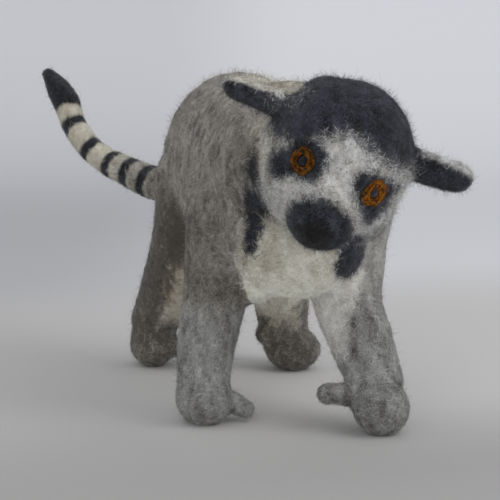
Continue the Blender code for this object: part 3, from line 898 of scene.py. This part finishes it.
def matted_piece(skin, name, material, fewer):
    """Fibres that wander over the skin on both sides of their roots and cross each other."""
    nodes, count, length, width, stray, curl = MATTED[name]
    knots = MATTED_KNOTS
    rng = np.random.default_rng(sum(name.encode()))
    points, normals, unwrap, names, wool, tone = rooted(skin, nodes, int(count * fewer), rng)
    count = len(points)
    forward = across(normals, lie_of_wool(points, names))
    sideways = np.cross(normals, forward)
    turns = rng.normal(0, 0.45, (count, knots - 1)) + rng.normal(0, curl, (count, 1))
    heading = rng.normal(0, stray, (count, 1)) + np.cumsum(turns, axis=1)
    lengths = length * rng.uniform(0.6, 1.4, (count, 1, 1))
    steps = forward[:, None] * np.cos(heading)[..., None]
    steps = (steps + sideways[:, None] * np.sin(heading)[..., None]) * lengths / (knots - 1)
    paths = np.concatenate([np.zeros((count, 1, 3)), np.cumsum(steps, axis=1)], axis=1)
    paths += points[:, None] - paths[:, knots // 2][:, None]
    rise = np.sin(np.linspace(0.15, math.pi - 0.1, knots))[None]
    heights = 0.05 + rise * rng.uniform(*MATTED_RISE, (count, 1))
    paths, over = skin.lay(paths, heights)
    roll = rng.normal(0, 0.45, (count, 1, 1))
    ahead = unit(np.gradient(paths, axis=1))
    sides = np.cross(over, ahead)
    sides = unit(sides) * np.cos(roll) + over * np.sin(roll)
    widths = width * rng.uniform(0.6, 1.4, (count, 1)) * taper(knots)[None]
    tone = np.clip(tone + rng.normal(0, 0.2, count), 0, 1)
    return ribbon_piece(name, paths, sides, widths, unwrap, wool, tone, material, "grey_wool")


def loose_piece(skin, name, material, fewer):
    """Fibres that stand off the skin and curl."""
    nodes, count, length, width, knots, steep = LOOSE[name]
    rng = np.random.default_rng(sum(name.encode()))
    margin = 0.35 * length if length < 4 else length
    points, normals, unwrap, names, wool, tone = rooted(skin, nodes, int(count * fewer), rng, margin)
    count = len(points)
    flat = across(normals, lie_of_wool(points, names) + rng.normal(0, 2.0, (count, 3)))
    slope = np.clip(rng.normal(steep, 0.45, (count, 1)), 0.08, 1.4)
    direction = flat * np.cos(slope) + normals * np.sin(slope)
    lengths = length * rng.uniform(0.35, 1.0, (count, 1)) ** 1.3 * 1.5
    curl = rng.normal(0, 1.1, (count, 3))
    knot_places = [points - normals * 0.1]
    for _ in range(knots - 1):
        direction = unit(direction + curl * 0.5 + rng.normal(0, 0.35, (count, 3)))
        inward = (direction * normals).sum(1, keepdims=True)
        direction = unit(direction - normals * np.minimum(inward + 0.1, 0) * 1.2)
        knot_places.append(knot_places[-1] + direction * lengths / (knots - 1))
    paths = np.stack(knot_places, axis=1)
    ahead = unit(np.gradient(paths, axis=1))
    sides = unit(np.cross(ahead, rng.normal(0, 1, (count, 1, 3))))
    widths = width * rng.uniform(0.7, 1.3, (count, 1)) * taper(knots)[None]
    tone = np.clip(tone + rng.normal(0.08, 0.25, count), 0, 1)
    return ribbon_piece(name, paths, sides, widths, unwrap, wool, tone, material, "grey_wool")


# Settings


class LEMUR_PG_wools(bpy.types.PropertyGroup):
    grey: bpy.props.FloatVectorProperty(
        name="Grey", description="Heathered wool of the body", subtype="COLOR", size=3,
        default=(0.345, 0.325, 0.295), min=0, max=1)
    pale: bpy.props.FloatVectorProperty(
        name="Pale", description="Bluish wool of the forelegs", subtype="COLOR", size=3,
        default=(0.335, 0.335, 0.33), min=0, max=1)
    cream: bpy.props.FloatVectorProperty(
        name="Cream", description="Wool of the bib, belly and tail", subtype="COLOR", size=3,
        default=(0.69, 0.665, 0.60), min=0, max=1)
    white: bpy.props.FloatVectorProperty(
        name="White", description="Wool of the face", subtype="COLOR", size=3,
        default=(0.71, 0.705, 0.67), min=0, max=1)
    slate: bpy.props.FloatVectorProperty(
        name="Slate", description="Wool of the cap, eye patches and muzzle", subtype="COLOR", size=3,
        default=(0.0315, 0.0335, 0.0455), min=0, max=1)
    black: bpy.props.FloatVectorProperty(
        name="Black", description="Wool of the nose, pupils and tail rings", subtype="COLOR", size=3,
        default=(0.009, 0.009, 0.0095), min=0, max=1)
    amber: bpy.props.FloatVectorProperty(
        name="Amber", description="Wool of the irises", subtype="COLOR", size=3,
        default=(0.46, 0.13, 0.004), min=0, max=1)
    heather: bpy.props.FloatProperty(
        name="Heather", description="How far fibres of one wool differ in lightness", default=0.75,
        min=0, max=1, subtype="FACTOR")


class LEMUR_PG_felt(bpy.types.PropertyGroup):
    pitch: bpy.props.FloatProperty(
        name="Pitch", description="Fineness of the felted skin", default=0.8 * MM, unit="LENGTH")
    closing: bpy.props.FloatProperty(
        name="Closing", description="How wide the creases between limbs are filled", default=1.0 * MM,
        unit="LENGTH")
    coat: bpy.props.FloatProperty(
        name="Coat", description="Depth of the matted wool over the skin", default=0.45 * MM,
        unit="LENGTH")
    lumps: bpy.props.FloatProperty(
        name="Lumps", description="Height of the soft lumps that the needle leaves", default=0.7 * MM,
        unit="LENGTH")
    softening: bpy.props.IntProperty(
        name="Softening", description="Smoothing steps over the felted skin", default=5, min=0)
    fewer: bpy.props.FloatProperty(
        name="Wool", description="Share of the wool that is made", default=1.0, min=0, max=1,
        subtype="FACTOR")


class LEMUR_PG_stage(bpy.types.PropertyGroup):
    floor: bpy.props.FloatVectorProperty(
        name="Floor", description="Colour of the floor", subtype="COLOR", size=3,
        default=(0.60, 0.59, 0.58), min=0, max=1)
    wall: bpy.props.FloatVectorProperty(
        name="Wall", description="Colour of the backdrop", subtype="COLOR", size=3,
        default=(0.95, 0.95, 0.98), min=0, max=1)
    key: bpy.props.FloatProperty(
        name="Key light", description="Power of the window light", default=4.5, unit="POWER")
    front: bpy.props.FloatProperty(
        name="Front light", description="Power of the low light from the front", default=7.1,
        unit="POWER")
    fill: bpy.props.FloatProperty(
        name="Fill", description="Brightness of the room", default=0.62, min=0)
    lens: bpy.props.FloatProperty(
        name="Lens", description="Focal length on a 36 mm sensor", default=108.0, unit="CAMERA")


# Operators


class LEMUR_OT_skin(bpy.types.Operator):
    """Felts all the flesh nodes into one closed skin, inside them by the depth of the coat"""

    bl_idname = "lemur.skin"
    bl_label = "Felted skin"

    def execute(self, context):
        felt = context.scene.lemur_felt
        copies = [node_copy(name) for name in FLESH]
        deselect_all()
        for piece in copies:
            piece.select_set(True)
        context.view_layer.objects.active = copies[0]
        bpy.ops.object.join()
        skin = context.view_layer.objects.active
        skin.name = skin.data.name = "felted_skin"
        edit_all(bpy.ops.transform.shrink_fatten, value=CUT_CLOSING * MM)
        apply_modifier(skin, "REMESH", "union", mode="VOXEL", voxel_size=felt.pitch)
        apply_modifier(skin, "SMOOTH", "blend", factor=0.5, iterations=3)
        apply_modifier(skin, "DISPLACE", "grow", strength=felt.closing, mid_level=0.0)
        apply_modifier(skin, "REMESH", "felt", mode="VOXEL", voxel_size=felt.pitch)
        apply_modifier(skin, "SMOOTH", "soften", factor=0.5, iterations=felt.softening)
        grown = felt.closing + CUT_CLOSING * MM
        self.set_depths(skin, grown, felt.coat)
        apply_modifier(
            skin, "DISPLACE", "shrink", strength=-(grown + felt.coat), mid_level=0.0, vertex_group="coat"
        )
        for name, size, share in LUMPS:
            apply_modifier(
                skin, "DISPLACE", name, texture=lump_texture(name, size * MM), texture_coords="LOCAL",
                strength=felt.lumps * share, mid_level=0.5,
            )
        self.set_soles(skin.data)
        skin.data.uv_layers.new(name="OFBake")
        edit_all(bpy.ops.uv.smart_project, angle_limit=math.radians(66), island_margin=0.002)
        self.mark(skin.data)
        skin.data.shade_smooth()
        material = get_material(felt_material, "felted_wool", context.scene.lemur_wools)
        finish_piece(skin, "grey_wool", material, *FLESH)
        return {"FINISHED"}

    @staticmethod
    def set_depths(skin, grown, coat):
        """Weighs how far each vertex goes back in: by what it was grown and by the coat's depth there."""
        nodes = nodes_under(mesh_values(skin.data.vertices, "co") / MM)
        depths = np.ones(len(nodes))
        for start, share in COAT_DEPTHS.items():
            depths[np.char.startswith(nodes, start)] = share
        group = skin.vertex_groups.new(name="coat")
        for share in np.unique(depths):
            weight = (grown + coat * share) / (grown + coat)
            group.add(np.flatnonzero(depths == share).tolist(), weight, "REPLACE")

    @staticmethod
    def set_soles(mesh):
        """Brings the soles down to the floor and keeps everything above it."""
        points = mesh_values(mesh.vertices, "co")
        near = np.clip(1 - points[:, 2] / (SOLE_BLEND * MM), 0, 1)
        points[:, 2] = np.maximum(points[:, 2] - near * SOLE_DROP * MM, 0.0)
        mesh.vertices.foreach_set("co", points.ravel())
        mesh.update()

    @staticmethod
    def mark(mesh):
        """Keeps the markings and the tone of the wool at each vertex."""
        points = mesh_values(mesh.vertices, "co") / MM
        nodes = nodes_under(points)
        wool = markings(points, mesh_values(mesh.vertices, "normal"), nodes)
        set_attribute(mesh, "wool", "FLOAT_COLOR", "color", wool)
        set_attribute(mesh, "tone", "FLOAT", "value", tones(points, nodes, wool))


def felted_base(node, name, material, lumps):
    """A node's shape, made finer and rough as felt, in place of that node."""
    piece = node_copy(node)
    piece.name = piece.data.name = name
    apply_modifier(piece, "SUBSURF", "finer", levels=2, render_levels=2)
    apply_modifier(
        piece, "DISPLACE", "dimples", texture=lump_texture(name, 1.1 * MM), texture_coords="LOCAL",
        strength=lumps, mid_level=0.5,
    )
    piece.data.shade_smooth()
    finish_piece(piece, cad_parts[node].data.materials[0].name.split(".")[0], material, node)
    return piece


PUPIL_LIGHT = {"right": 0.55, "left": 1.5}
STRANDS = {"right": (0.46, 1.06, 0.3), "left": (0.34, 1.18, 0.62)}  # the ring's start, end and lightness
STRAND_COUNT = 420
STRAND_KNOTS = 7
STRAND_SEEDS = {"right": 32, "left": 31}
STRAND_WIDTHS = (0.07, 0.19)
RING_PLACE = (0.77, 0.13)  # how far out the strands lie, as shares of the iris, and how far they differ
FREE_SHARE = 0.07  # share of the strands that leave the ring
STRAW_SHARE = 0.3  # share of paler strands
IRIS_FELT = (0.022, 0.012, 0.006)
STRAW = ((0.03, 0.018, 0.003), (0.36, 0.17, 0.012))
ORANGE_SHARES = (0.07, 1.15)  # of the amber wool, in its darkest and lightest strands


class LEMUR_OT_eyes(bpy.types.Operator):
    """Makes each eye: a ring of amber wool wound round a dark pupil"""

    bl_idname = "lemur.eyes"
    bl_label = "Felted eyes"

    def execute(self, context):
        wools = context.scene.lemur_wools
        ring_wool = plain_wool("iris_felt", IRIS_FELT, 0.7)
        strand_wool = self.strand_material(wools)
        for side in OUTWARDS:
            base = felted_base(f"iris_{side}", f"iris_felt_{side}", ring_wool, 0.25 * MM)
            dark = scaled(wools.slate, PUPIL_LIGHT[side])
            pupil_wool = plain_wool(f"pupil_wool_{side}", dark, 0.6)
            pupil = felted_base(f"pupil_{side}", f"pupil_felt_{side}", pupil_wool, 0.5 * MM)
            self.strands(side, strand_wool)
        return {"FINISHED"}

    @staticmethod
    def strand_material(wools):
        nodes = Nodes("amber_fibres", 0.8, 0.0)
        tone = nodes.attribute("tone")["Fac"]
        orange = nodes.mix(tone, *(scaled(wools.amber, share) for share in ORANGE_SHARES))
        straw = nodes.mix(tone, *STRAW)
        split = nodes.tree.nodes.new("ShaderNodeSeparateColor")
        nodes.link(nodes.attribute("wool")["Color"], split.inputs[0])
        nodes.link(nodes.mix(split.outputs[0], orange, straw), nodes.shader.inputs["Base Color"])
        return nodes.material

    @staticmethod
    def strands(side, material):
        """Curled strands that run round the ring and loop across it."""
        rng = np.random.default_rng(STRAND_SEEDS[side])
        centre = middle(f"iris_{side}")
        points = node_points(f"iris_{side}") - centre
        _, _, axes = np.linalg.svd(points, full_matrices=False)
        facing = axes[2] * np.sign(axes[2] @ FACE_FRONT)
        right = unit(np.cross(FACE_UP, facing))
        up = np.cross(facing, right)
        outer = np.linalg.norm(points, axis=1).max()
        starts, ends, lightness = STRANDS[side]
        count, knots = STRAND_COUNT, STRAND_KNOTS
        around = rng.uniform(0, math.tau, (count, 1))
        loop = rng.uniform(0.06, 0.26, (count, 1))
        swept = rng.uniform(0, math.tau, (count, 1))
        swept = swept + rng.uniform(1.5, 4.5, (count, 1)) * np.linspace(0, 1, knots)
        squeeze = rng.uniform(0.4, 1.3, (count, 1))
        reach = rng.normal(*RING_PLACE, (count, 1)) + loop * squeeze * np.cos(swept)
        reach = starts + np.abs(reach - starts)
        reach = np.where(reach > ends, 2 * ends - reach, reach)
        free = rng.random((count, 1)) < FREE_SHARE
        reach = reach + free * rng.uniform(-0.5, 0.25, (count, 1))
        turn = around + loop / squeeze * np.sin(swept) / np.maximum(reach, 0.5)
        rim = np.stack([np.cos(turn), np.sin(turn), turn * 0], axis=-1).reshape(-1, 3) * outer
        reach = reach * (1 + 0.05 * waves(rim, 6.0, 41).reshape(turn.shape))
        bulge = np.sqrt(np.clip(1 - ((reach - 0.74) / 0.4) ** 2, 0.02, 1))
        height = 0.5 * bulge + rng.uniform(0.05, 0.45, (count, 1))
        flat = right * np.cos(turn)[..., None] + up * np.sin(turn)[..., None]
        paths = centre + flat * (reach * outer)[..., None] + facing * height[..., None]
        ahead = unit(np.gradient(paths, axis=1))
        roll = rng.normal(0, 0.4, (count, 1, 1))
        sides = unit(np.cross(facing, ahead)) * np.cos(roll) + facing * np.sin(roll)
        widths = rng.uniform(*STRAND_WIDTHS, (count, 1)) * taper(knots)[None]
        straw = np.zeros((count, 4))
        straw[:, 0] = rng.random(count) < STRAW_SHARE
        clumps = 0.34 * waves(paths[:, knots // 2], 1.2, 42)
        tone = np.clip(rng.normal(lightness, 0.28, count) + clumps, 0, 1)
        unwrap = rng.random((count, 2))
        return ribbon_piece(
            f"iris_strands_{side}", paths, sides, widths, unwrap, straw, tone, material, "amber_wool"
        )


def plain_wool(name, colour, spread):
    """A felted wool of one colour, lighter and darker in fine squiggles."""
    nodes = Nodes(name, 0.95, 0.2)
    squiggle = nodes.noise(1.8, detail=3.0, kind="RIDGED_MULTIFRACTAL", distortion=1.0)
    dark, light = shades(colour, spread)
    nodes.link(nodes.mix(squiggle, dark, light), nodes.shader.inputs["Base Color"])
    nodes.bump(squiggle, 0.5, 0.2)
    return nodes.material


class LEMUR_OT_matted_wool(bpy.types.Operator):
    """Lays matted wool over the skin"""

    bl_idname = "lemur.matted_wool"
    bl_label = "Matted wool"

    def execute(self, context):
        skin = Skin()
        material = get_material(fibre_material, "wool_fibres", context.scene.lemur_wools)
        for name in MATTED:
            matted_piece(skin, name, material, context.scene.lemur_felt.fewer)
        return {"FINISHED"}


class LEMUR_OT_loose_wool(bpy.types.Operator):
    """Raises fuzz and single stray fibres off the skin"""

    bl_idname = "lemur.loose_wool"
    bl_label = "Loose wool"

    def execute(self, context):
        skin = Skin()
        material = get_material(fibre_material, "wool_fibres", context.scene.lemur_wools)
        for name in LOOSE:
            loose_piece(skin, name, material, context.scene.lemur_felt.fewer)
        return {"FINISHED"}


KEY_PLACE = (0.8, -0.7, 0.75)
FILL_PLACE = (-0.9, -1.7, 0.5)
WALL_STARTS = (120.0, 330.0)  # how far behind the figure's middle the floor turns into the backdrop
# painted light: the wall is lighter further back and up
WALL_BRIGHTENS = (500.0, 1500.0)
FLOOR_BRIGHTENS = (-120.0, -20.0)
LEFT_TO_RIGHT = (-120.0, 90.0)  # from where to where the paper gets lighter sideways: painted light towards the right, painted shade towards the left
VIEW_SLANT = 0.25  # how far that runs askew further back
WALL_LOW = (0.57, 0.82)  # shares of the wall's colour where it starts, from one side to the other
WALL_HIGH = (0.86, 1.0)
FLOOR_SHARES = (1.0, 1.1)
FLOOR_NEAR = 0.77  # share of the floor's colour in front of the figure, a painted shade
FLOOR_SIZE = 4.0
WALL_HEIGHT = 1.6
WALL_BEND = 1.1
ROOM_COLOUR = (0.96, 0.975, 1.0, 1.0)
LAMP_SIZE = 1.0
LAMP_TARGET = (0, 0, 0.05)
CAMERA_PLACE = (-117.18, -507.14, 114.0)
CAMERA_TURN = math.radians(14.0)
CAMERA_DIP = math.radians(7.03)


def paper_material(stage):
    """The paper under and behind the figure, lighter from some way behind it and towards one side, as painted
    light and shade of the room.
    """
    nodes = Nodes("paper", 0.9, 0.0)
    place = nodes.tree.nodes.new("ShaderNodeTexCoord")
    split = nodes.tree.nodes.new("ShaderNodeSeparateXYZ")
    nodes.link(place.outputs["Object"], split.inputs[0])
    # painted light towards the right and painted shade towards the left, across the paper
    slant = nodes.number("MULTIPLY", split.outputs["Y"], VIEW_SLANT)
    side = nodes.ramp(nodes.number("SUBTRACT", split.outputs["X"], slant), LEFT_TO_RIGHT)
    low = nodes.mix(side, *(scaled(stage.wall, share) for share in WALL_LOW))
    high = nodes.mix(side, *(scaled(stage.wall, share) for share in WALL_HIGH))
    # the wall painted lighter further up, a painted light
    wall = nodes.mix(nodes.ramp(split.outputs["Y"], WALL_BRIGHTENS), low, high)
    floor = nodes.mix(side, *(scaled(stage.floor, share) for share in FLOOR_SHARES))
    # the floor painted darker in front of the figure, a painted shade
    near = scaled(stage.floor, FLOOR_NEAR)
    floor = nodes.mix(nodes.ramp(split.outputs["Y"], FLOOR_BRIGHTENS), near, floor)
    colour = nodes.mix(nodes.ramp(split.outputs["Y"], WALL_STARTS), floor, wall)
    nodes.link(colour, nodes.shader.inputs["Base Color"])
    return nodes.material


class LEMUR_OT_stage(bpy.types.Operator):
    """Sets up the pale floor and backdrop, the soft light and the camera"""

    bl_idname = "lemur.stage"
    bl_label = "Stage"

    def execute(self, context):
        stage = context.scene.lemur_stage
        self.backdrop(stage)
        self.lights(context, stage)
        self.camera(context, stage)
        context.scene.view_settings.view_transform = "Standard"
        return {"FINISHED"}

    @staticmethod
    def backdrop(stage):
        """A floor that curves up into a wall behind the figure."""
        deselect_all()
        bpy.ops.mesh.primitive_plane_add(size=FLOOR_SIZE, location=(0, 0, 0))
        floor = bpy.context.object
        floor.name = floor.data.name = "floor"
        bpy.ops.object.mode_set(mode="EDIT")
        bpy.ops.mesh.select_mode(type="EDGE")
        bpy.ops.mesh.select_all(action="DESELECT")
        select_edges(floor.data, lambda end: end.y > 0)
        bpy.ops.mesh.extrude_region_move(TRANSFORM_OT_translate={"value": (0, 0, WALL_HEIGHT)})
        select_edges(floor.data, lambda end: end.y > 0 and end.z == 0)
        bpy.ops.mesh.bevel(offset=WALL_BEND, segments=24, affect="EDGES")
        bpy.ops.object.mode_set(mode="OBJECT")
        floor.data.shade_smooth()
        floor.data.materials.append(paper_material(stage))

    @staticmethod
    def lights(context, stage):
        world = bpy.data.worlds.new("room")
        world.use_nodes = True
        background = world.node_tree.nodes["Background"]
        background.inputs["Color"].default_value = ROOM_COLOUR
        background.inputs["Strength"].default_value = stage.fill
        context.scene.world = world
        lamps = (("window", KEY_PLACE, stage.key), ("front_fill", FILL_PLACE, stage.front))
        for name, place, power in lamps:
            bpy.ops.object.light_add(type="AREA", location=place)
            lamp = bpy.context.object
            lamp.name = name
            lamp.data.shape = "DISK"
            lamp.data.size = LAMP_SIZE
            lamp.data.energy = power
            looks = Vector(LAMP_TARGET) - lamp.location
            lamp.rotation_euler = looks.to_track_quat("-Z", "Y").to_euler()

    @staticmethod
    def camera(context, stage):
        bpy.ops.object.camera_add(location=Vector(CAMERA_PLACE) * MM)
        camera = bpy.context.object
        camera.data.sensor_width = 36.0
        camera.data.lens = stage.lens
        camera.data.clip_start = 0.01
        level = math.cos(CAMERA_DIP)
        looks = Vector((
            math.sin(CAMERA_TURN) * level, math.cos(CAMERA_TURN) * level, -math.sin(CAMERA_DIP)
        ))
        camera.rotation_euler = looks.to_track_quat("-Z", "Y").to_euler()
        context.scene.camera = camera


class LEMUR_PT_panel(bpy.types.Panel):
    """Lists the steps that make the figure"""

    bl_idname = "LEMUR_PT_panel"
    bl_label = "Felted lemur"
    bl_space_type = "VIEW_3D"
    bl_region_type = "UI"
    bl_category = "Felted lemur"

    def draw(self, context):
        for settings in (context.scene.lemur_wools, context.scene.lemur_felt, context.scene.lemur_stage):
            box = self.layout.box()
            for name in settings.__annotations__:
                box.prop(settings, name)
        for step in STEPS:
            self.layout.operator(step.bl_idname)


STEPS = (
    LEMUR_OT_skin,
    LEMUR_OT_eyes,
    LEMUR_OT_matted_wool,
    LEMUR_OT_loose_wool,
    LEMUR_OT_stage,
)
CLASSES = (LEMUR_PG_wools, LEMUR_PG_felt, LEMUR_PG_stage, *STEPS, LEMUR_PT_panel)
SETTINGS = {
    "lemur_wools": LEMUR_PG_wools,
    "lemur_felt": LEMUR_PG_felt,
    "lemur_stage": LEMUR_PG_stage,
}


def register():
    for made in CLASSES:
        bpy.utils.register_class(made)
    for name, group in SETTINGS.items():
        setattr(bpy.types.Scene, name, bpy.props.PointerProperty(type=group))


def unregister():
    for name in SETTINGS:
        delattr(bpy.types.Scene, name)
    for made in reversed(CLASSES):
        bpy.utils.unregister_class(made)


def main():
    register()
    bpy.ops.lemur.stage()
    bpy.ops.lemur.skin()
    bpy.ops.lemur.eyes()
    bpy.ops.lemur.matted_wool()
    bpy.ops.lemur.loose_wool()


if __name__ == "__main__":
    main()
